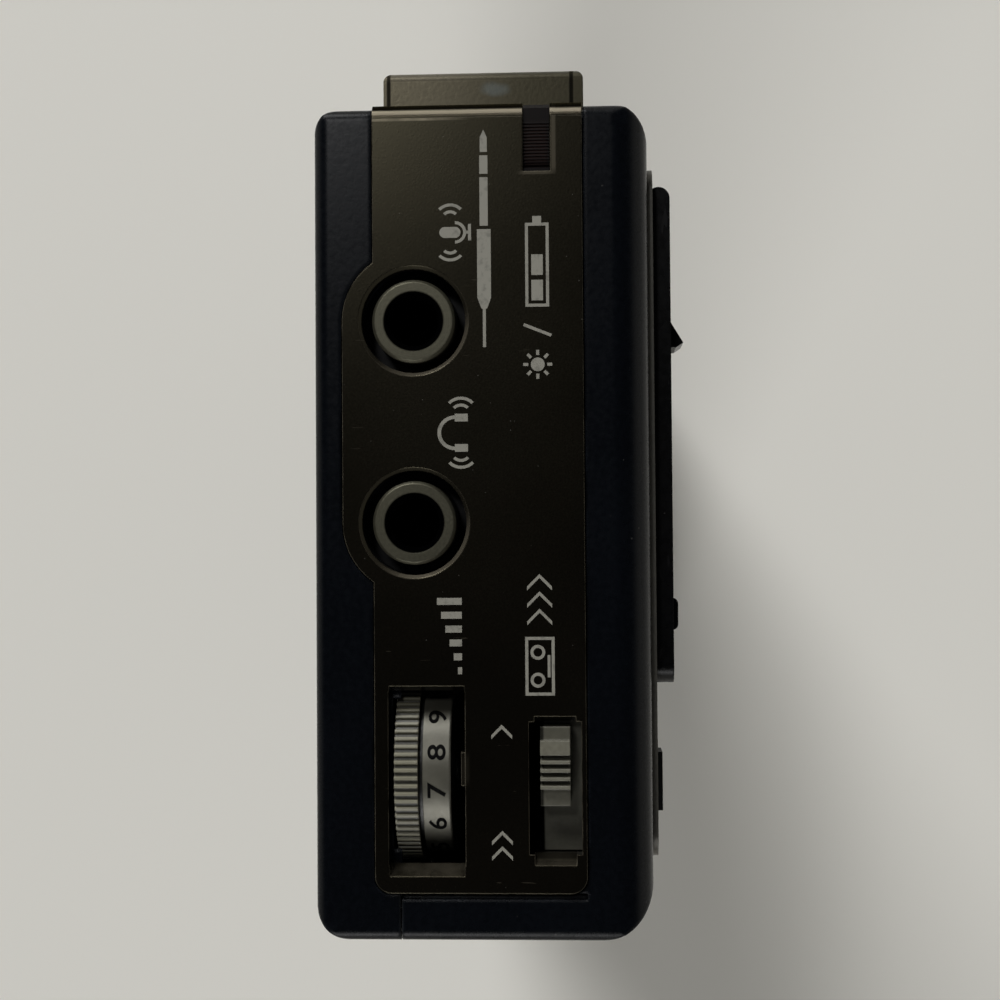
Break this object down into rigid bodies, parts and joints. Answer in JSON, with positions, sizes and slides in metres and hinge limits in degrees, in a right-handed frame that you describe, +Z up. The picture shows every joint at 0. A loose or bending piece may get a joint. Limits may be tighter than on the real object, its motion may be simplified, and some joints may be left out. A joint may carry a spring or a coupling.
{
  "type": "microcassette recorder",
  "caption": "Upright pocket microcassette recorder with a side thumb slider, hinged cassette lid, numbered volume wheel, speed switch and jacks in its top end.",
  "frame": {"origin": "centre of the bottom end face", "axes": "+Z up the case to the end with the jacks and the wheel, +X to the right seen from the front, +Y to the back"},
  "size_m": [0.0647, 0.0281, 0.1208],
  "materials": {
    "shell": "fine satin texture, blue-black",
    "bronze": "dark bronze-brown satin paint",
    "plate": "satin brushed front plate",
    "lid": "polished black",
    "clear": "smoked clear plastic",
    "slider": "olive-brown paint, worn at the edges",
    "black": "plain black",
    "collar": "dull plated collar",
    "wheel": "grey-beige moulding with a silver band",
    "knob": "grey-beige moulding",
    "lens": "dark red ribbed lens",
    "steel": "plain sheet steel",
    "brass": "turned brass",
    "rubber": "black rubber",
    "white": "pale acetal",
    "board": "green laminate",
    "cell": "plain printed sleeve",
    "paper": "pressed paper cone",
    "numbers": "black number wheel"
  },
  "bodies": {
    "case": {"front_shell": "shell", "rear_shell": "shell", "trim_panel": "bronze", "front_plate": "plate", "cassette_well": "black", "deck_plate": "steel", "speaker_grille": "black", "speaker_frame": "steel", "speaker_magnet": "black", "speaker_cone": "paper", "microphone": "steel", "circuit_board": "board", "board_components": "black", "mic_jack_bushing": "collar", "ear_jack_bushing": "collar", "jack_housings": "black", "volume_pot": "steel", "speed_switch": "black", "led_lens": "lens", "led_lamp": "lens", "counter_lens": "clear", "counter_frame": "black", "counter_shaft": "steel", "lid_hinge_pin": "black", "door_hinge_pin": "steel", "case_screws": "steel", "deck_screws": "steel", "battery_cells": "cell", "battery_contacts": "steel", "contact_bridge": "steel", "motor": "steel", "drive_belt": "rubber", "capstan_bearing": "brass", "flywheel_bracket": "steel"},
    "lid": {"cassette_lid": "lid", "lid_window": "clear"},
    "latch": {"lid_latch": "lid"},
    "door": {"battery_door": "shell"},
    "slider": {"slider_knob": "slider", "slider_shield": "black", "mode_bar": "steel"},
    "carriage": {"head_carriage": "steel", "record_head": "steel", "erase_head": "black", "roller_pin": "steel"},
    "roller": {"pinch_roller": "rubber"},
    "volume": {"volume_wheel": "wheel"},
    "speed": {"speed_knob": "knob"},
    "reset": {"reset_button": "black"},
    "flywheel_set": {"flywheel": "brass", "capstan": "steel"},
    "pulley": {"motor_pulley": "brass"},
    "takeup": {"takeup_spindle": "white"},
    "supply": {"supply_spindle": "white"},
    "idler": {"idler_wheel": "rubber"},
    "units": {"counter_units": "numbers"},
    "tens": {"counter_tens": "numbers"},
    "hundreds": {"counter_hundreds": "numbers"}
  },
  "joints": [
    {"name": "lid_swing", "type": "hinge", "parent": "case", "child": "lid", "pos_m": [0.02435, -0.0132, 0.08775], "axis": [0, 0, 1], "range_deg": [0, 100]},
    {"name": "latch_slide", "type": "slide", "parent": "lid", "child": "latch", "axis": [1, 0, 0], "range_m": [-0.0012, 0]},
    {"name": "door_swing", "type": "hinge", "parent": "case", "child": "door", "pos_m": [0, 0.01155, 0.0565], "axis": [1, 0, 0], "range_deg": [0, 85]},
    {"name": "function_slide", "type": "slide", "parent": "case", "child": "slider", "axis": [0, 0, 1], "range_m": [-0.006, 0]},
    {"name": "carriage_slide", "type": "slide", "parent": "case", "child": "carriage", "axis": [1, 0, 0], "range_m": [0, 0.0024]},
    {"name": "roller_spin", "type": "hinge", "parent": "carriage", "child": "roller", "pos_m": [-0.01285, -0.0066, 0.10075], "axis": [0, 1, 0], "continuous": true},
    {"name": "volume_turn", "type": "hinge", "parent": "case", "child": "volume", "pos_m": [-0.01835, 0.0047, 0.11385], "axis": [0, -1, 0], "range_deg": [-178, 62]},
    {"name": "speed_slide", "type": "slide", "parent": "case", "child": "speed", "axis": [-1, 0, 0], "range_m": [0, 0.003]},
    {"name": "reset_press", "type": "slide", "parent": "case", "child": "reset", "axis": [0, 1, 0], "range_m": [0, 0.001], "stiffness_N_per_m": 200, "springref_m": -0.0005},
    {"name": "flywheel_spin", "type": "hinge", "parent": "case", "child": "flywheel_set", "pos_m": [-0.00645, 0.0009, 0.10075], "axis": [0, 1, 0], "continuous": true},
    {"name": "pulley_spin", "type": "hinge", "parent": "case", "child": "pulley", "pos_m": [-0.0208, 0.0009, 0.0675], "axis": [0, 1, 0], "continuous": true},
    {"name": "idler_spin", "type": "hinge", "parent": "case", "child": "idler", "pos_m": [-0.00089, 0.0036, 0.10012], "axis": [0, 1, 0], "continuous": true},
    {"name": "takeup_spin", "type": "hinge", "parent": "case", "child": "takeup", "pos_m": [0.00845, 0, 0.09905], "axis": [0, 1, 0], "continuous": true},
    {"name": "supply_spin", "type": "hinge", "parent": "case", "child": "supply", "pos_m": [0.00845, 0, 0.07645], "axis": [0, 1, 0], "continuous": true},
    {"name": "hundreds_turn", "type": "hinge", "parent": "case", "child": "hundreds", "pos_m": [-0.02215, -0.00705, 0.1083], "axis": [1, 0, 0], "continuous": true},
    {"name": "tens_turn", "type": "hinge", "parent": "case", "child": "tens", "pos_m": [-0.01945, -0.00705, 0.1083], "axis": [1, 0, 0], "continuous": true},
    {"name": "units_turn", "type": "hinge", "parent": "case", "child": "units", "pos_m": [-0.01675, -0.00705, 0.1083], "axis": [1, 0, 0], "continuous": true}
  ],
  "couplings": [
    {"joint": "carriage_slide", "follows": "function_slide", "ratio": -0.4},
    {"joint": "pulley_spin", "follows": "flywheel_spin", "ratio": 7.3333},
    {"joint": "idler_spin", "follows": "flywheel_spin", "ratio": -0.657},
    {"joint": "takeup_spin", "follows": "flywheel_spin", "ratio": 0.3667},
    {"joint": "tens_turn", "follows": "units_turn", "ratio": 0.1},
    {"joint": "hundreds_turn", "follows": "units_turn", "ratio": 0.01}
  ]
}
